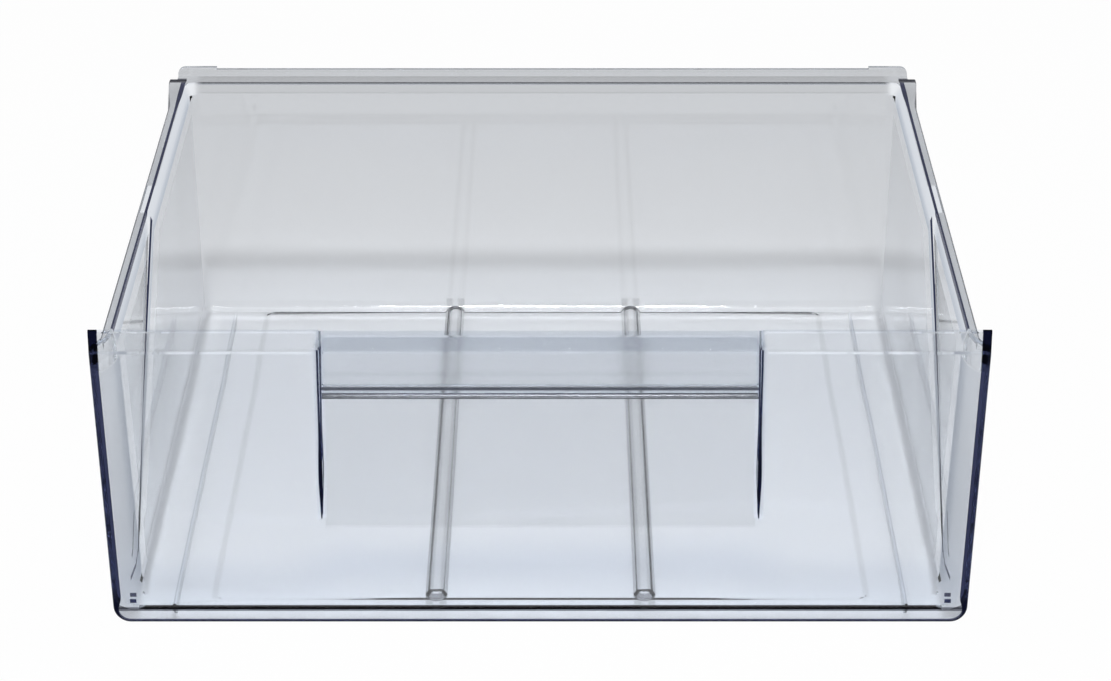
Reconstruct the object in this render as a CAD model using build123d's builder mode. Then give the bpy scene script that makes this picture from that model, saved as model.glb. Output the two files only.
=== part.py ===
import os
from math import cos, radians, tan
from build123d import *

# Overall sizes, seen from the front
width = 405.0
depth = 364.0
rim_z = 139.3
wall = 2.4
front_y = -depth / 2
back_y = depth / 2

# Front panel, with a shallow set-back band along its top
panel_top_z = 147.5
panel_thickness = 3.0
panel_straight = 12.0
panel_taper = 4.8
panel_corner = 8.0
panel_back_y = front_y + panel_thickness
panel_edge_round = 0.9
band_height = 10.1
band_step = 1.1
band_bevel = 1.0
top_round = 0.8
band_z = panel_top_z - band_height

# Floor plate
floor_top_z = 8.0
floor_thickness = 2.2
floor_under_z = floor_top_z - floor_thickness

# Hollow of the tray at the floor and at the rim
tray_inset = 15.5
side_draft = 3.0
end_draft = 2.5
ledge_depth = 13.5
hollow_round = 5.0
hollow_floor_half = width / 2 - tray_inset
hollow_rim_half = hollow_floor_half + side_draft
hollow_rim_end = back_y - ledge_depth
hollow_floor_end = hollow_rim_end - end_draft
hollow_slope = side_draft / (rim_z - floor_top_z)
hollow_end_slope = end_draft / (rim_z - floor_top_z)
hollow_floor_length = hollow_floor_end - panel_back_y
hollow_rim_length = hollow_rim_end - panel_back_y

# Outside of the tray, one wall thickness away from the hollow
tray_low_half = hollow_floor_half - hollow_slope * floor_thickness + wall
tray_rim_half = hollow_rim_half + wall
tray_low_length = hollow_floor_length - hollow_end_slope * floor_thickness + wall
tray_rim_length = hollow_rim_length + wall
tray_round = hollow_round + floor_thickness

# Shoulder where the walls lean outwards just under the rim
shoulder_drop = 5.0
shoulder_out = 3.4
shoulder_back = 2.0
shoulder_low_z = rim_z - shoulder_drop
shoulder_under_z = shoulder_low_z - wall / 2

# Facet in each side wall, stepped outwards towards the front and the rim
facet_step = 2.3
facet_start = 4.5
facet_length = 157.5
facet_rise = 9.0
facet_low_y = panel_back_y + facet_start
facet_low_z = floor_top_z + facet_rise
facet_rim_y = facet_low_y + facet_length
facet_low_half = hollow_floor_half + hollow_slope * facet_rise
facet_rim_half = hollow_rim_half + facet_step
facet_shoulder = 1.9
facet_top_half = facet_rim_half + facet_shoulder
facet_lean = (0, facet_low_z - rim_z, facet_length)
facet_plane = Plane((0, facet_low_y, facet_low_z), x_dir=(1, 0, 0), z_dir=facet_lean)
facet_inside = hollow_floor_half - wall

# Flare of the side walls out to the edges of the front panel
flare_length = 18.0
flare_wall = 4.0
flare_stations = (0, 1 / 3, 2 / 3, 1)
flare_inside = hollow_floor_half - 2 * tray_round
foot_share = 1 - cos(radians(45))
panel_low_half = width / 2 - panel_taper
panel_slope = panel_taper / (panel_top_z - panel_straight)

# Rim flange round both sides and the back, with a tab flared out at each rear end
flange_thickness = 2.2
flange_overhang = 2.6
flange_round = 0.7
tab_flare = 3.8
tab_length = 5.0
tab_setback = 7.0
tab_sweep = 42.0
ledge_inset = 0.4
flange_half = tray_rim_half + shoulder_out + flange_overhang
flange_under_z = rim_z - flange_thickness
tab_half = flange_half + tab_flare
tab_end_y = back_y - tab_setback
tab_start_y = tab_end_y - tab_length
tab_sweep_y = tab_start_y - tab_sweep
ledge_half = flange_half - ledge_inset

# Upstand along the rear edge with two taller ears
upstand_thickness = 2.0
upstand_height = 3.9
ear_width = 21.0
ear_height = 5.1
ear_round = 4.0
upstand_half = ledge_half - ear_width

# Handle pocket behind a drop lip, let into the top of the panel
pocket_half = 99.1
pocket_foot_z = 49.3
pocket_depth = 18.8
pocket_wall = 2.4
pocket_round = 3.0
pocket_outer_half = pocket_half + pocket_wall
pocket_back_y = front_y + pocket_depth
pocket_slope = pocket_depth / (rim_z - pocket_foot_z)
shelf_thickness = 2.4
shelf_under_z = rim_z - shelf_thickness
shelf_round = 1.4
lip_thickness = 2.6
lip_drop = 24.9
lip_under_z = rim_z - lip_drop
lip_bead_radius = 3.0

# Raised field and two hollow beads in the floor
field_inset = 34.0
field_margin = 5.0
field_corner = 5.0
field_step = 0.45
field_lean = 68.0
field_half = hollow_floor_half - field_inset
field_front_y = panel_back_y + field_margin
field_end_y = hollow_floor_end - field_margin
field_y = (field_front_y + field_end_y) / 2
bead_x = 48.5
bead_width = 11.0
bead_height = 2.8
bead_round = 4.6
bead_lean = 40.0
bead_wall = 2.0
bead_groove_round = bead_round - bead_wall
bead_rise = field_step + bead_height
bead_groove_rise = bead_rise + floor_thickness - bead_wall
bead_groove_inset = bead_wall / cos(radians(bead_lean)) - floor_thickness * tan(radians(bead_lean))
bead_length = hollow_floor_end - field_front_y
bead_y = (field_front_y + hollow_floor_end) / 2

# Runner ribs under the floor, run out at both ends
rib_inset = 17.0
rib_thickness = 1.3
rib_gap = 3.0
rib_lead = 7.0
rib_x = hollow_floor_half - rib_inset
rib_end_y = hollow_floor_end - rib_gap

# Hollow of the tray, kept apart so that its corners can be rounded
with BuildPart() as tray_hollow:
    with BuildSketch(Plane((0, panel_back_y + hollow_floor_length / 2, floor_top_z))):
        Rectangle(2 * hollow_floor_half, hollow_floor_length)
    with BuildSketch(Plane((0, panel_back_y + hollow_rim_length / 2, rim_z))):
        Rectangle(2 * hollow_rim_half, hollow_rim_length)
    loft()
    back_edges = tray_hollow.faces().sort_by(Axis.Y)[-1].edges().sort_by(Axis.Z)[:-1]
    side_feet = tray_hollow.faces().sort_by(Axis.Z)[0].edges().filter_by(Axis.Y)
    fillet(back_edges + side_feet, hollow_round)

# Shoulder round the rim, as hollow and as outside
with BuildPart() as shoulder_hollow:
    with BuildSketch(Plane((0, panel_back_y, shoulder_low_z))):
        Rectangle(2 * hollow_rim_half, 2 * hollow_rim_length)
        fillet(vertices().group_by(Axis.Y)[-1], hollow_round)
    with BuildSketch(Plane((0, panel_back_y, rim_z))):
        Rectangle(2 * (hollow_rim_half + shoulder_out), 2 * (hollow_rim_length + shoulder_back))
        fillet(vertices().group_by(Axis.Y)[-1], hollow_round)
    loft(ruled=True)

with BuildPart() as shoulder_outside:
    with BuildSketch(Plane((0, panel_back_y + tray_rim_length / 2, shoulder_under_z))):
        Rectangle(2 * tray_rim_half, tray_rim_length)
        fillet(vertices().group_by(Axis.Y)[-1], tray_round)
    with BuildSketch(Plane((0, panel_back_y + (tray_rim_length + shoulder_back) / 2, rim_z))):
        Rectangle(2 * (tray_rim_half + shoulder_out), tray_rim_length + shoulder_back)
        fillet(vertices().group_by(Axis.Y)[-1], tray_round)
    loft(ruled=True)

# Flare of the right side wall beside the front panel, as hollow and as outside
with BuildPart() as flare_hollow:
    for station in flare_stations:
        spread = (1 - station) ** 2
        panel_floor_half = panel_low_half + panel_slope * floor_top_z - flare_wall
        panel_facet_half = panel_low_half + panel_slope * facet_low_z - flare_wall
        panel_lean_half = panel_low_half + panel_slope * shoulder_low_z - flare_wall
        panel_rim_half = width / 2 - flare_wall
        foot_half = hollow_floor_half + spread * (panel_floor_half - hollow_floor_half)
        with BuildSketch(Plane.XZ.offset(-panel_back_y - flare_length * station)):
            with BuildLine():
                Polyline(
                    (flare_inside, floor_top_z),
                    (foot_half - hollow_round, floor_top_z),
                    (foot_half - foot_share * hollow_round, floor_top_z + foot_share * hollow_round),
                    (foot_half + hollow_slope * hollow_round, floor_top_z + hollow_round),
                    (facet_low_half + spread * (panel_facet_half - facet_low_half), facet_low_z),
                    (facet_rim_half + spread * (panel_lean_half - facet_rim_half), shoulder_low_z),
                    (facet_top_half + spread * (panel_rim_half - facet_top_half), rim_z),
                    (flare_inside, rim_z),
                    close=True,
                )
            make_face()
    loft(ruled=True)

with BuildPart() as flare_outside:
    for station in flare_stations:
        spread = (1 - station) ** 2
        panel_floor_half = panel_low_half + panel_slope * floor_under_z
        panel_facet_half = panel_low_half + panel_slope * facet_low_z
        facet_outer_half = facet_low_half + wall
        panel_lean_half = panel_low_half + panel_slope * shoulder_under_z
        lean_outer_half = facet_rim_half + wall
        rim_outer_half = facet_top_half + wall
        foot_half = tray_low_half + spread * (panel_floor_half - tray_low_half)
        with BuildSketch(Plane.XZ.offset(-panel_back_y - flare_length * station)):
            with BuildLine():
                Polyline(
                    (flare_inside, floor_under_z),
                    (foot_half - tray_round, floor_under_z),
                    (foot_half - foot_share * tray_round, floor_under_z + foot_share * tray_round),
                    (foot_half + hollow_slope * tray_round, floor_under_z + tray_round),
                    (facet_outer_half + spread * (panel_facet_half - facet_outer_half), facet_low_z),
                    (lean_outer_half + spread * (panel_lean_half - lean_outer_half), shoulder_under_z),
                    (rim_outer_half + spread * (width / 2 - rim_outer_half), rim_z),
                    (flare_inside, rim_z),
                    close=True,
                )
            make_face()
    loft(ruled=True)

# Stepped facet of the right side wall, as hollow and as outside
with BuildPart() as facet_hollow:
    with BuildSketch(Plane.XZ.offset(-panel_back_y)):
        with BuildLine():
            Polyline(
                (facet_inside, facet_low_z),
                (facet_low_half, facet_low_z),
                (facet_rim_half, shoulder_low_z),
                (facet_top_half, rim_z),
                (facet_inside, rim_z),
                close=True,
            )
        make_face()
    extrude(amount=panel_back_y - facet_rim_y)
    split(bisect_by=facet_plane, keep=Keep.TOP)

with BuildPart() as facet_outside:
    with BuildSketch(Plane.XZ.offset(-panel_back_y)):
        with BuildLine():
            Polyline(
                (facet_inside, facet_low_z - wall),
                (facet_low_half + wall, facet_low_z - wall),
                (facet_rim_half + wall, shoulder_under_z),
                (facet_top_half + wall, rim_z),
                (facet_inside, rim_z),
                close=True,
            )
        make_face()
    extrude(amount=panel_back_y - facet_rim_y - 2 * wall)
    split(bisect_by=facet_plane.offset(-wall), keep=Keep.TOP)

# Hollow of the grip pocket, rounded where its side walls meet the sloping back
with BuildPart() as pocket_hollow:
    with BuildSketch(Plane.YZ):
        with BuildLine():
            Polyline(
                (front_y, pocket_foot_z),
                (pocket_back_y - pocket_slope * shelf_thickness, shelf_under_z),
                (front_y + lip_thickness, shelf_under_z),
                (front_y + lip_thickness, lip_under_z),
                (front_y, lip_under_z),
                close=True,
            )
        make_face()
    extrude(amount=pocket_half, both=True)
    pocket_back = pocket_hollow.faces().sort_by(Axis.Y)[-1]
    fillet(pocket_back.edges().filter_by(lambda e: abs(e.center().X) > pocket_half / 2), pocket_round)

with BuildPart() as freezer_drawer:
    # Outside of the tray
    with BuildSketch(Plane((0, panel_back_y + tray_low_length / 2, floor_under_z))):
        Rectangle(2 * tray_low_half, tray_low_length)
    with BuildSketch(Plane((0, panel_back_y + tray_rim_length / 2, rim_z))):
        Rectangle(2 * tray_rim_half, tray_rim_length)
    loft()
    back_edges = freezer_drawer.faces().sort_by(Axis.Y)[-1].edges().sort_by(Axis.Z)[:-1]
    side_feet = freezer_drawer.faces().sort_by(Axis.Z)[0].edges().filter_by(Axis.Y)
    fillet(back_edges + side_feet, tray_round)
    add(shoulder_outside.part)
    add(facet_outside.part)
    mirror(facet_outside.part, about=Plane.YZ)

    # Rim flange, flared at the rear ends
    with BuildSketch(Plane.XY.offset(flange_under_z)):
        with BuildLine():
            Polyline(
                (0, panel_back_y),
                (flange_half, panel_back_y),
                (flange_half, tab_sweep_y),
                (tab_half, tab_start_y),
                (tab_half, tab_end_y),
                (ledge_half, tab_end_y),
                (ledge_half, back_y),
                (0, back_y),
                close=True,
            )
        make_face()
        mirror(about=Plane.YZ)
    extrude(amount=flange_thickness)
    outer_edges = freezer_drawer.edges().filter_by(lambda e: abs(e.center().X) > facet_top_half + wall)
    long_edges = outer_edges.filter_by(lambda e: e.length > flange_thickness)
    fillet(long_edges.filter_by(lambda e: e.center().Y < tab_end_y - wall), flange_round)
    add(flare_outside.part)
    mirror(flare_outside.part, about=Plane.YZ)

    # Upstand and ears along the rear edge
    with BuildSketch(Plane.XZ.offset(-back_y)):
        with BuildLine():
            Polyline(
                (0, flange_under_z),
                (ledge_half, flange_under_z),
                (ledge_half, rim_z + ear_height),
                (upstand_half, rim_z + ear_height),
                (upstand_half, rim_z + upstand_height),
                (0, rim_z + upstand_height),
                close=True,
            )
        make_face()
        fillet(vertices().group_by(Axis.X)[-1].group_by(Axis.Y)[-1], ear_round)
        mirror(about=Plane.YZ)
    extrude(amount=upstand_thickness)

    # Hollow
    add(tray_hollow.part, mode=Mode.SUBTRACT)
    add(facet_hollow.part, mode=Mode.SUBTRACT)
    mirror(facet_hollow.part, about=Plane.YZ, mode=Mode.SUBTRACT)
    add(flare_hollow.part, mode=Mode.SUBTRACT)
    mirror(flare_hollow.part, about=Plane.YZ, mode=Mode.SUBTRACT)
    add(shoulder_hollow.part, mode=Mode.SUBTRACT)

    # Front panel with tapered sides, notched over the grip
    with BuildSketch(Plane.XZ.offset(-front_y)):
        with BuildLine():
            Polyline(
                (0, 0),
                (width / 2 - panel_taper, 0),
                (width / 2, panel_top_z - panel_straight),
                (width / 2, panel_top_z),
                (pocket_half, panel_top_z),
                (pocket_half, rim_z),
                (0, rim_z),
                close=True,
            )
        make_face()
        fillet(vertices().group_by(Axis.Y)[0].group_by(Axis.X)[-1], panel_corner)
        mirror(about=Plane.YZ)
    extrude(amount=-panel_thickness)

    # Set-back band along the top of the panel, either side of the grip
    with BuildSketch(Plane.XZ.offset(-front_y)):
        with BuildLine():
            Polyline(
                (pocket_outer_half, band_z),
                (width / 2, band_z),
                (width / 2, panel_top_z),
                (pocket_outer_half, panel_top_z),
                close=True,
            )
        make_face()
        mirror(about=Plane.YZ)
    extrude(amount=-band_step, mode=Mode.SUBTRACT)
    band_edges = freezer_drawer.edges().filter_by(Axis.X).group_by(Axis.Y)[0]
    chamfer(band_edges.filter_by(lambda e: abs(e.center().Z - band_z) < band_bevel), band_bevel)
    fillet(freezer_drawer.edges().filter_by(Axis.X).group_by(Axis.Z)[-1], top_round)
    rounded = freezer_drawer.edges().group_by(Axis.Y)[0].filter_by(lambda e: e.center().Z < band_z - wall)
    fillet(rounded, panel_edge_round)

    # Pocket body, its hollow and the drop lip with a bead along its lower edge
    with BuildSketch(Plane.YZ):
        with BuildLine():
            Polyline(
                (front_y, pocket_foot_z - pocket_wall),
                (panel_back_y, pocket_foot_z - pocket_wall),
                (pocket_back_y + pocket_wall, rim_z),
                (front_y, rim_z),
                close=True,
            )
        make_face()
    extrude(amount=pocket_outer_half, both=True)
    add(pocket_hollow.part, mode=Mode.SUBTRACT)
    with BuildSketch(Plane.YZ):
        with BuildLine():
            CenterArc((front_y + lip_bead_radius, lip_under_z + lip_bead_radius), lip_bead_radius, 0, 360)
        make_face()
    extrude(amount=pocket_half, both=True)
    shelf_front = freezer_drawer.edges().filter_by(Axis.X).sort_by_distance((0, front_y, rim_z))[0]
    fillet(shelf_front, shelf_round)
    shelf_corner = (0, pocket_back_y + pocket_wall, rim_z)
    shelf_back = freezer_drawer.edges().filter_by(Axis.X).sort_by_distance(shelf_corner)[0]
    fillet(shelf_back, shelf_round)

    # Raised field of the floor, with the same step underneath
    with BuildSketch(Plane((0, field_y, floor_top_z))):
        RectangleRounded(2 * field_half, field_end_y - field_front_y, field_corner)
    extrude(amount=field_step, taper=field_lean)
    with BuildSketch(Plane((0, field_y, floor_under_z))):
        RectangleRounded(2 * field_half, field_end_y - field_front_y, field_corner)
    extrude(amount=field_step, taper=field_lean, mode=Mode.SUBTRACT)

    # Hollow beads along the floor, round at the front and run out into the back wall
    for side_x in (bead_x, -bead_x):
        bead_plane = Plane((side_x, bead_y, floor_top_z), x_dir=(0, 1, 0))
        with BuildSketch(bead_plane):
            SlotOverall(bead_length, bead_width)
        extrude(amount=bead_rise, taper=bead_lean)
        fillet(freezer_drawer.edges(Select.LAST).group_by(Axis.Z)[-1], bead_round)
        with BuildSketch(bead_plane.offset(-floor_thickness)):
            SlotOverall(bead_length - 2 * bead_groove_inset, bead_width - 2 * bead_groove_inset)
        extrude(amount=bead_groove_rise, taper=bead_lean, mode=Mode.SUBTRACT)
        fillet(freezer_drawer.edges(Select.LAST).group_by(Axis.Z)[-1], bead_groove_round)

    # Runner ribs
    for side_x in (rib_x, -rib_x):
        with BuildSketch(Plane.YZ.offset(side_x)):
            with BuildLine():
                Polyline(
                    (panel_back_y, floor_under_z),
                    (panel_back_y + rib_lead, 0),
                    (rib_end_y - rib_lead, 0),
                    (rib_end_y, floor_under_z),
                    close=True,
                )
            make_face()
        extrude(amount=rib_thickness / 2, both=True)

os.makedirs("parts", exist_ok=True)
freezer_drawer.part.label = "freezer_drawer"
export_step(freezer_drawer.part, "parts/freezer_drawer.step")
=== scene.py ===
import math

import bmesh
import bpy
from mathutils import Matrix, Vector


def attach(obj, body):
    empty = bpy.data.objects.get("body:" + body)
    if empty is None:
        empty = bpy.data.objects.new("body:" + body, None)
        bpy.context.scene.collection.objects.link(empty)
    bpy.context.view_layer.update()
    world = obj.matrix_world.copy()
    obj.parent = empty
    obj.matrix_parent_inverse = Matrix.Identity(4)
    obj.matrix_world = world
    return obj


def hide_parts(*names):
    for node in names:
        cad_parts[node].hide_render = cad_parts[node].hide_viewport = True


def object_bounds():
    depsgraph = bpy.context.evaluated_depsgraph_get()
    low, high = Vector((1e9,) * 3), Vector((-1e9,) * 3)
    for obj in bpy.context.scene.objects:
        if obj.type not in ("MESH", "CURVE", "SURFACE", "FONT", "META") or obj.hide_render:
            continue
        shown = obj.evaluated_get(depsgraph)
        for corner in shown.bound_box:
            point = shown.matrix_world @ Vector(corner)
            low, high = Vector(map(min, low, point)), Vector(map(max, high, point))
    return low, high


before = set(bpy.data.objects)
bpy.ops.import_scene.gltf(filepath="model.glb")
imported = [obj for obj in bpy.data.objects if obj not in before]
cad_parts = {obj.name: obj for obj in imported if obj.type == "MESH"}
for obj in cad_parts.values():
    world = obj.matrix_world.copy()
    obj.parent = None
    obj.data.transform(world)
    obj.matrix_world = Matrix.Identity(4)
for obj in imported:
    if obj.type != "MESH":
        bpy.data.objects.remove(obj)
cad_low, cad_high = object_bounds()
scene = bpy.context.scene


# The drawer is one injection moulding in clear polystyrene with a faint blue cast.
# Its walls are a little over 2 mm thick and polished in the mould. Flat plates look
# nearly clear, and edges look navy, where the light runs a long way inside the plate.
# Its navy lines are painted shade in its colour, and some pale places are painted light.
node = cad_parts["freezer_drawer"]
drawer = bpy.data.objects.new("clear_drawer", node.data.copy())
scene.collection.objects.link(drawer)
drawer.matrix_world = node.matrix_world.copy()
drawer.data.materials.clear()

weld_distance = 2e-6
shortest_edge = 1e-6
sharp_angle = math.radians(30)
mesh = bmesh.new()
mesh.from_mesh(drawer.data)
bmesh.ops.remove_doubles(mesh, verts=mesh.verts, dist=weld_distance)
bmesh.ops.dissolve_degenerate(mesh, edges=mesh.edges, dist=shortest_edge)
for face in mesh.faces:
    face.smooth = True
for edge in mesh.edges:
    edge.smooth = edge.calc_face_angle(0.0) < sharp_angle
mesh.to_mesh(drawer.data)
mesh.free()

weights = drawer.modifiers.new("flat_faces_stay_flat", "WEIGHTED_NORMAL")
weights.mode = "FACE_AREA"
weights.weight = 100
weights.keep_sharp = True

plastic = bpy.data.materials.new("clear_polystyrene")
plastic.use_nodes = True
nodes, links = plastic.node_tree.nodes, plastic.node_tree.links
shader = nodes["Principled BSDF"]
output = nodes["Material Output"]


def calc(operation, *values):
    step = nodes.new("ShaderNodeMath")
    step.operation = operation
    for socket, value in zip(step.inputs, values):
        if isinstance(value, (int, float)):
            socket.default_value = value
        else:
            links.new(value, socket)
    return step.outputs["Value"]


def ramp(value, start, end, low=0.0, high=1.0):
    step = nodes.new("ShaderNodeMapRange")
    step.interpolation_type = "SMOOTHSTEP"
    links.new(value, step.inputs["Value"])
    for name, number in (("From Min", start), ("From Max", end), ("To Min", low), ("To Max", high)):
        step.inputs[name].default_value = number
    return step.outputs["Result"]


def all_of(first, *others):
    for other in others:
        first = calc("MULTIPLY", first, other)
    return first


def any_of(first, *others):
    for other in others:
        first = calc("MAXIMUM", first, other)
    return first


def none_of(mask):
    return calc("SUBTRACT", 1.0, mask)


def past(value, limit):
    return calc("GREATER_THAN", value, limit)


def short_of(value, limit):
    return calc("LESS_THAN", value, limit)


def away_from(value, middle):
    return calc("ABSOLUTE", calc("SUBTRACT", value, middle))


def length_of(first, second):
    return calc("SQRT", calc("ADD", calc("MULTIPLY", first, first), calc("MULTIPLY", second, second)))


def blend(factor, plain, full, socket):
    step = nodes.new("ShaderNodeMix")
    step.data_type = "RGBA"
    step.inputs["A"].default_value = (*plain, 1)
    step.inputs["B"].default_value = (*full, 1)
    links.new(factor, step.inputs["Factor"])
    links.new(step.outputs["Result"], socket)


place = nodes.new("ShaderNodeTexCoord")
axes = nodes.new("ShaderNodeSeparateXYZ")
links.new(place.outputs["Object"], axes.inputs["Vector"])
across = calc("ABSOLUTE", axes.outputs["X"])
along = axes.outputs["Y"]
height = axes.outputs["Z"]
front_y = cad_low[1]
panel_half = cad_high[0]
panel_top = cad_high[2]
panel_back = front_y + 0.0030
wall = 0.0024

# Painted shade: a navy strip along the front panel's outline, whose sides lean and lower corners are round
panel_straight_z = panel_top - 0.0120
panel_slope = 0.0048 / panel_straight_z
panel_corner = 0.0080
strip_at_side = 0.0040
strip_at_foot = 0.0009
lean = calc("MULTIPLY", calc("MAXIMUM", calc("SUBTRACT", panel_straight_z, height), 0.0), panel_slope)
from_side = calc("SUBTRACT", calc("SUBTRACT", panel_half, lean), across)
corner_x = calc("MAXIMUM", calc("SUBTRACT", panel_corner, from_side), 0.0)
corner_z = calc("MAXIMUM", calc("SUBTRACT", panel_corner, height), 0.0)
from_outline = calc("SUBTRACT", panel_corner, length_of(corner_x, corner_z))
in_strip = short_of(from_outline, ramp(height, 0.001, 0.014, strip_at_foot, strip_at_side))
edge_shade_mask = all_of(in_strip, short_of(along, panel_back + 0.0025))
# Painted light: the panel's top edge is kept see-through and pale, in place of a highlight on its round
top_pale = all_of(past(height, panel_top - 0.0013), none_of(in_strip))

# Painted shade: dark lines on the side walls of the grip pocket, seen edge on, darkest towards their lower
# points
pocket_wall_x = 0.1000
pocket_low_z = 0.0540
pocket_top_z = 0.1385
at_pocket = short_of(along, front_y + 0.0240)
from_wall = away_from(across, pocket_wall_x)
wall_span = all_of(past(height, pocket_low_z), short_of(height, pocket_top_z))
point_reach = ramp(height, 0.052, 0.074, 0.0003, 0.0010)
upper_share = ramp(height, 0.076, 0.100, 1.0, 0.45)
wall_reach = calc("MULTIPLY", point_reach, upper_share)
pocket_wall_shade = all_of(short_of(from_wall, wall_reach), wall_span, at_pocket)
# Painted light: the pocket's side walls themselves are kept see-through and pale
pocket_pale = all_of(short_of(from_wall, wall), wall_span, at_pocket)

# Painted shade: a dark line on the riser of the stepped facet in each side wall, thin above and deepest in
# its lower half.
# Painted light: the riser is kept see-through and pale; a straight ray leaves the wall's outer face further
# back, so the pale reach runs on there.
facet_foot_y = panel_back + 0.0045
facet_foot_z = 0.0170
facet_sine = 0.6134
facet_cosine = 0.7898
wall_foot_x = 0.18682
wall_slope = 0.02285
facet_slope = 0.0205
riser_half = 0.0012
straight_run = 0.0200
on_wall = past(across, wall_foot_x - 0.00032)
over_foot = calc("SUBTRACT", height, facet_foot_z)
riser_rise = calc("MULTIPLY", over_foot, facet_cosine)
off_riser = calc("SUBTRACT", calc("MULTIPLY", calc("SUBTRACT", along, facet_foot_y), facet_sine), riser_rise)
from_inside = calc("SUBTRACT", across, calc("MULTIPLY_ADD", height, wall_slope, wall_foot_x))
riser_reach = ramp(height, 0.035, 0.075, 0.0015, 0.0005)
on_riser = all_of(short_of(calc("ABSOLUTE", off_riser), 0.0008), on_wall)
riser_shade = all_of(on_riser, short_of(away_from(from_inside, 0.0015), riser_reach))
facet_out = calc("MULTIPLY", calc("MAXIMUM", over_foot, 0.0), facet_slope)
facet_out = calc("MULTIPLY", facet_out, short_of(off_riser, 0.0))
outer_face = past(calc("SUBTRACT", from_inside, facet_out), wall / 2)
riser_end = calc("MULTIPLY_ADD", outer_face, straight_run, riser_half)
riser_pale = all_of(past(off_riser, -riser_half), short_of(off_riser, riser_end), past(height, 0.0300))

# Painted light: the flare of the side walls beside the panel is kept see-through and pale below the rim
flare_end = calc("MULTIPLY_ADD", outer_face, straight_run, panel_back + 0.0225)
flare_pale = all_of(short_of(along, flare_end), past(along, panel_back + 0.0005), short_of(height, 0.1260))
wall_pale = all_of(any_of(riser_pale, flare_pale), on_wall)

# Painted shade: dark lines on the outer edges of the rim flange, the crease along its inside, and the end of
# its widened tab
flange_edge = 0.0006
flange_half = ramp(along, 0.128, 0.170, 0.1984, 0.2022)
crease_x = 0.1943
rim_z = 0.1393
tab_end_y = 0.1750
tab_inner_x = 0.1930
behind_panel = past(along, panel_back + 0.0190)
rim_edge = calc("MULTIPLY", past(across, calc("SUBTRACT", flange_half, flange_edge)), 0.75)
on_crease = short_of(away_from(across, crease_x), ramp(along, 0.125, 0.155, 0.0007, 0.0012))
rim_crease = all_of(on_crease, past(height, rim_z - 0.0018), short_of(along, tab_end_y - 0.0050))
tab_span = all_of(past(along, tab_end_y - 0.0036), short_of(along, tab_end_y + 0.0012))
tab_end = calc("MULTIPLY", all_of(tab_span, past(across, tab_inner_x)), 0.95)
rim_line_shade = any_of(all_of(any_of(rim_edge, rim_crease), behind_panel), tab_end)
# Painted light: the inner shoulder of the rim is kept see-through and pale
rim_low = calc("MULTIPLY_ADD", outer_face, -0.0090, rim_z - 0.0071)
rim_span = all_of(past(height, rim_low), short_of(height, rim_z - 0.0002))
rim_pale = all_of(rim_span, behind_panel, ramp(across, 0.1840, 0.1897))

# Painted shade: a dark line above the bar along the grip's drop lip and a fine one below; painted light: the
# bar and the grip's shelf are kept see-through and pale
bar_z = 0.1174
bar_reach = 0.0031
in_grip = short_of(across, 0.0986)
at_bar = all_of(short_of(along, front_y + 0.0065), in_grip)
top_line = ramp(away_from(height, bar_z + 0.0020), 0.0014, 0.0005, 0.0, 0.96)
low_line = ramp(away_from(height, bar_z - 0.0027), 0.0006, 0.0003, 0.0, 0.95)
bar_shade = all_of(any_of(top_line, low_line), at_bar)
bar_pale = all_of(short_of(away_from(height, bar_z), bar_reach), at_bar)
shelf_pale = all_of(past(height, rim_z - 0.0028), at_pocket, in_grip)

# Painted shade: a dark line where the floor plate is seen end on through the panel, and painted shadow of
# the floor on the foot of the panel below it
floor_middle_z = 0.0069
at_panel = short_of(along, panel_back + 0.0005)
floor_line = ramp(away_from(height, floor_middle_z), 0.0013, 0.0008, 0.0, 0.92)
foot_painted_shadow = ramp(height, 0.0075, 0.0050, 0.0, 0.25)
foot_shade = all_of(any_of(floor_line, foot_painted_shadow), at_panel)

# Painted shade: dark bands on the flanks of the two floor beads and dark rings round their front ends
bead_x = 0.0485
bead_end_y = panel_back + 0.0105
off_bead = away_from(across, bead_x)
bead_flank = all_of(ramp(off_bead, 0.0008, 0.0022), ramp(off_bead, 0.0054, 0.0044, 0.0, 0.20))
before_end = calc("SUBTRACT", bead_end_y, along)
end_reach = length_of(off_bead, before_end)
end_ring = all_of(ramp(end_reach, 0.0030, 0.0038), ramp(end_reach, 0.0056, 0.0050, 0.0, 0.8))
bead_shade = any_of(bead_flank, all_of(end_ring, past(before_end, 0.0008)))

# Painted shade: a faint dark line along the edge of the raised field of the floor
field_middle_y = -0.0065
field_half_width = 0.1480
field_half_length = 0.1625
field_corner = 0.0040
beyond_side = calc("MAXIMUM", calc("SUBTRACT", across, field_half_width), 0.0)
beyond_end = calc("MAXIMUM", calc("SUBTRACT", away_from(along, field_middle_y), field_half_length), 0.0)
field_edge_shade = ramp(away_from(length_of(beyond_side, beyond_end), field_corner), 0.0024, 0.0006, 0.0, 0.09)
on_floor = all_of(short_of(height, 0.0135), past(along, panel_back + 0.0015))
floor_detail_shade = all_of(any_of(bead_shade, field_edge_shade), on_floor)

# Painted shade: the sloping back of the grip pocket is a little deeper in tone than the panel below the lip,
# and it is hazy behind the lip
lip_low_z = 0.1138
in_pocket = all_of(past(height, 0.0493), short_of(height, 0.1375), in_grip, at_pocket)
below_lip = short_of(height, lip_low_z)
pocket_back_shade = calc("MULTIPLY", all_of(in_pocket, below_lip), 0.10)
blur = all_of(in_pocket, past(along, panel_back + 0.0005), none_of(below_lip))

clear_tint = (0.950, 0.960, 0.972)
painted_shade_tint = (0.004, 0.005, 0.020)
painted_dark_sheen = (0.030, 0.035, 0.080)
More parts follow.
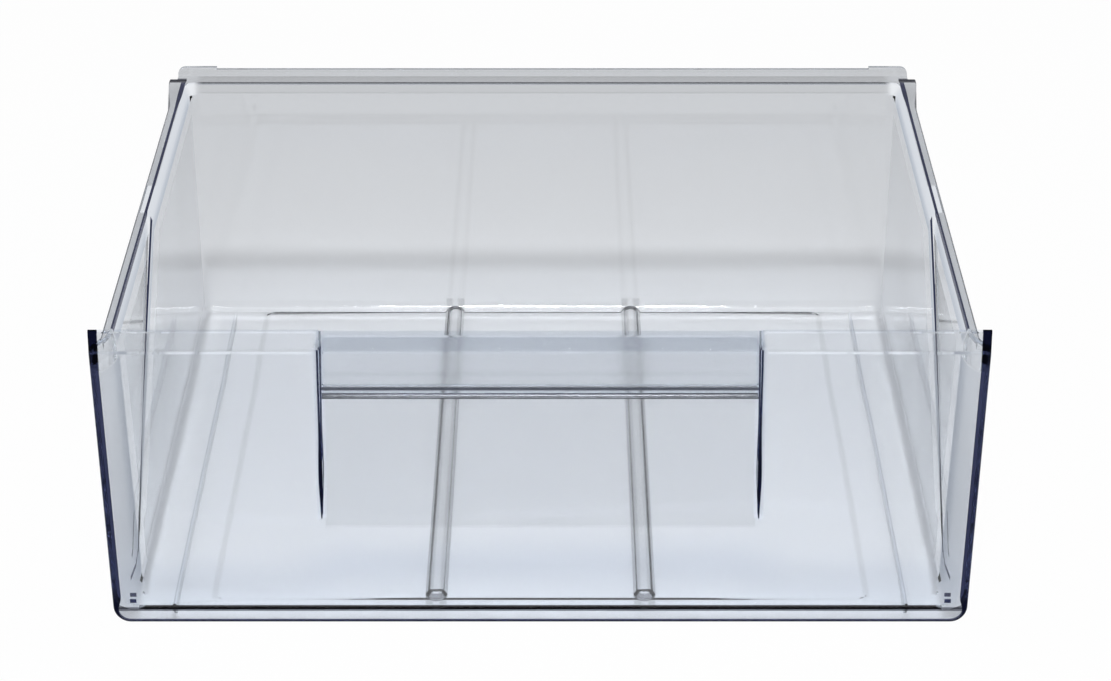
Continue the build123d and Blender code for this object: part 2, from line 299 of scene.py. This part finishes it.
# Painted shade: the dark lines and bands above turn the base colour navy and dim the reflections there
painted_dark_lines = any_of(edge_shade_mask, pocket_wall_shade, rim_line_shade, riser_shade, bar_shade)
painted_shade_mask = any_of(painted_dark_lines, foot_shade, floor_detail_shade, pocket_back_shade)
blend(painted_shade_mask, clear_tint, painted_shade_tint, shader.inputs["Base Color"])
blend(painted_shade_mask, (1, 1, 1), painted_dark_sheen, shader.inputs["Specular Tint"])

# Slight unevenness of the polish and of the plates themselves
haze = nodes.new("ShaderNodeTexNoise")
haze.inputs["Scale"].default_value = 14.0
haze.inputs["Detail"].default_value = 1.0
links.new(place.outputs["Object"], haze.inputs["Vector"])
polish = ramp(haze.outputs["Fac"], 0.3, 0.7, 0.01, 0.035)
links.new(calc("MULTIPLY_ADD", blur, 0.08, polish), shader.inputs["Roughness"])
wave = nodes.new("ShaderNodeTexNoise")
wave.inputs["Scale"].default_value = 9.0
wave.inputs["Detail"].default_value = 0.0
links.new(place.outputs["Object"], wave.inputs["Vector"])
bump = nodes.new("ShaderNodeBump")
bump.inputs["Strength"].default_value = 0.03
bump.inputs["Distance"].default_value = 0.002
links.new(wave.outputs["Fac"], bump.inputs["Height"])
links.new(bump.outputs["Normal"], shader.inputs["Normal"])
shader.inputs["IOR"].default_value = 1.59
shader.inputs["Transmission Weight"].default_value = 1.0

# The light is taken up along its way through the plastic, red more than blue
absorb = nodes.new("ShaderNodeVolumeAbsorption")
absorb.inputs["Color"].default_value = (0.20, 0.29, 0.42, 1)
absorb.inputs["Density"].default_value = 36.0
links.new(absorb.outputs["Volume"], output.inputs["Volume"])

# Painted light: where light would be caught between the faces of a plate, the plate is made plain
# see-through there instead, so these places read pale
straight_share = 0.96
pale = any_of(rim_pale, pocket_pale, wall_pale, top_pale, bar_pale, shelf_pale)
pale = all_of(calc("MULTIPLY", pale, straight_share), none_of(painted_shade_mask))
pale_see_through = nodes.new("ShaderNodeBsdfTransparent")
pale_see_through.inputs["Color"].default_value = (0.96, 0.968, 0.98, 1)
body = nodes.new("ShaderNodeMixShader")
links.new(pale, body.inputs["Fac"])
links.new(shader.outputs["BSDF"], body.inputs[1])
links.new(pale_see_through.outputs["BSDF"], body.inputs[2])

# Shadows of the clear plates stay pale, palest at the panel, and those of the floor and rim are deeper
plate_light = 0.88
floor_loss = 0.18
panel_gain = 0.10
rim_loss = 0.60
rim_band = all_of(ramp(height, 0.1345, 0.1368), behind_panel)
floor_band = all_of(short_of(height, 0.0125), past(along, panel_back + 0.0005))
at_grip = short_of(along, front_y + 0.0245)
shade = calc("SUBTRACT", plate_light, calc("MULTIPLY", floor_band, floor_loss))
shade = calc("ADD", shade, calc("MULTIPLY", at_grip, panel_gain))
shade = calc("SUBTRACT", shade, calc("MULTIPLY", rim_band, rim_loss))
path = nodes.new("ShaderNodeLightPath")
clear = nodes.new("ShaderNodeBsdfTransparent")
blend(shade, (0, 0, 0), (1.0, 1.005, 1.015), clear.inputs["Color"])
mix = nodes.new("ShaderNodeMixShader")
links.new(path.outputs["Is Shadow Ray"], mix.inputs["Fac"])
links.new(body.outputs["Shader"], mix.inputs[1])
links.new(clear.outputs["BSDF"], mix.inputs[2])
links.new(mix.outputs["Shader"], output.inputs["Surface"])
drawer.data.materials.append(plastic)
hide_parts("freezer_drawer")
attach(drawer, "root")


# The drawer stands on a plain pale sheet of paper that runs on behind it. Seen straight
# on it is white, and it keeps a little of the drawer's shadow.
sheet_half = 6.0
sheet_gap = 0.0004
white_seen = 0.97
white_through = 0.25
floor_mesh = bpy.data.meshes.new("studio_floor")
sheet_corners = [(x * sheet_half, y * sheet_half, 0) for x, y in ((-1, -1), (1, -1), (1, 1), (-1, 1))]
floor_mesh.from_pydata(sheet_corners, [], [(0, 1, 2, 3)])
floor = bpy.data.objects.new("studio_floor", floor_mesh)
floor.location = (0, 0, -sheet_gap)
scene.collection.objects.link(floor)
paper = bpy.data.materials.new("white_paper")
paper.use_nodes = True
paper_nodes, paper_links = paper.node_tree.nodes, paper.node_tree.links
paper_shader = paper_nodes["Principled BSDF"]
paper_shader.inputs["Base Color"].default_value = (0.80, 0.81, 0.82, 1)
paper_shader.inputs["Roughness"].default_value = 0.9
paper_shader.inputs["Specular IOR Level"].default_value = 0.0
paper_path = paper_nodes.new("ShaderNodeLightPath")
through = paper_nodes.new("ShaderNodeMath")
through.operation = "MAXIMUM"
paper_links.new(paper_path.outputs["Is Transmission Ray"], through.inputs[0])
paper_links.new(paper_path.outputs["Is Glossy Ray"], through.inputs[1])
share = paper_nodes.new("ShaderNodeMath")
share.operation = "MULTIPLY"
share.inputs[1].default_value = white_through
paper_links.new(through.outputs["Value"], share.inputs[0])
direct = paper_nodes.new("ShaderNodeMath")
direct.operation = "MULTIPLY_ADD"
direct.inputs[1].default_value = white_seen
paper_links.new(paper_path.outputs["Is Camera Ray"], direct.inputs[0])
paper_links.new(share.outputs["Value"], direct.inputs[2])
white = paper_nodes.new("ShaderNodeEmission")
white.inputs["Color"].default_value = (1, 1, 1, 1)
white.inputs["Strength"].default_value = 1.0
paper_mix = paper_nodes.new("ShaderNodeMixShader")
paper_links.new(direct.outputs["Value"], paper_mix.inputs["Fac"])
paper_links.new(paper_shader.outputs["BSDF"], paper_mix.inputs[1])
paper_links.new(white.outputs["Emission"], paper_mix.inputs[2])
paper_links.new(paper_mix.outputs["Shader"], paper_nodes["Material Output"].inputs["Surface"])
floor_mesh.materials.append(paper)


# Soft light from a panel in front of and above the drawer and a weaker one overhead,
# in a dim room, so that the edges have something dark to show.
world = bpy.data.worlds.new("studio_air")
world.use_nodes = True
world.node_tree.nodes["Background"].inputs["Color"].default_value = (0.5, 0.5, 0.52, 1)
world.node_tree.nodes["Background"].inputs["Strength"].default_value = 0.35
scene.world = world


def soft_panel(name, location, aim, size, watts):
    lamp = bpy.data.lights.new(name, "AREA")
    lamp.shape = "RECTANGLE"
    lamp.size, lamp.size_y = size
    lamp.energy = watts
    panel = bpy.data.objects.new(name, lamp)
    panel.location = location
    panel.rotation_euler = (Vector(aim) - Vector(location)).to_track_quat("-Z", "Y").to_euler()
    scene.collection.objects.link(panel)


drawer_middle = (0, 0.1, 0)
soft_panel("front_panel", (0.0, -0.9, 2.0), drawer_middle, (0.4, 0.3), 28.0)
soft_panel("overhead_panel", (0.0, 0.2, 2.2), drawer_middle, (2.4, 1.6), 10.0)


# The photograph's view: from the front, 24 degrees down, through a long lens.
look_down = math.radians(24)
camera_data = bpy.data.cameras.new("photo_camera")
camera_data.lens = 112.1
camera_data.sensor_width = 36.0
camera = bpy.data.objects.new("photo_camera", camera_data)
camera.location = (0.007, -1.5965, 0.773)
camera.rotation_euler = (math.pi / 2 - look_down, 0, 0)
scene.collection.objects.link(camera)
scene.camera = camera
scene.view_settings.view_transform = "Standard"
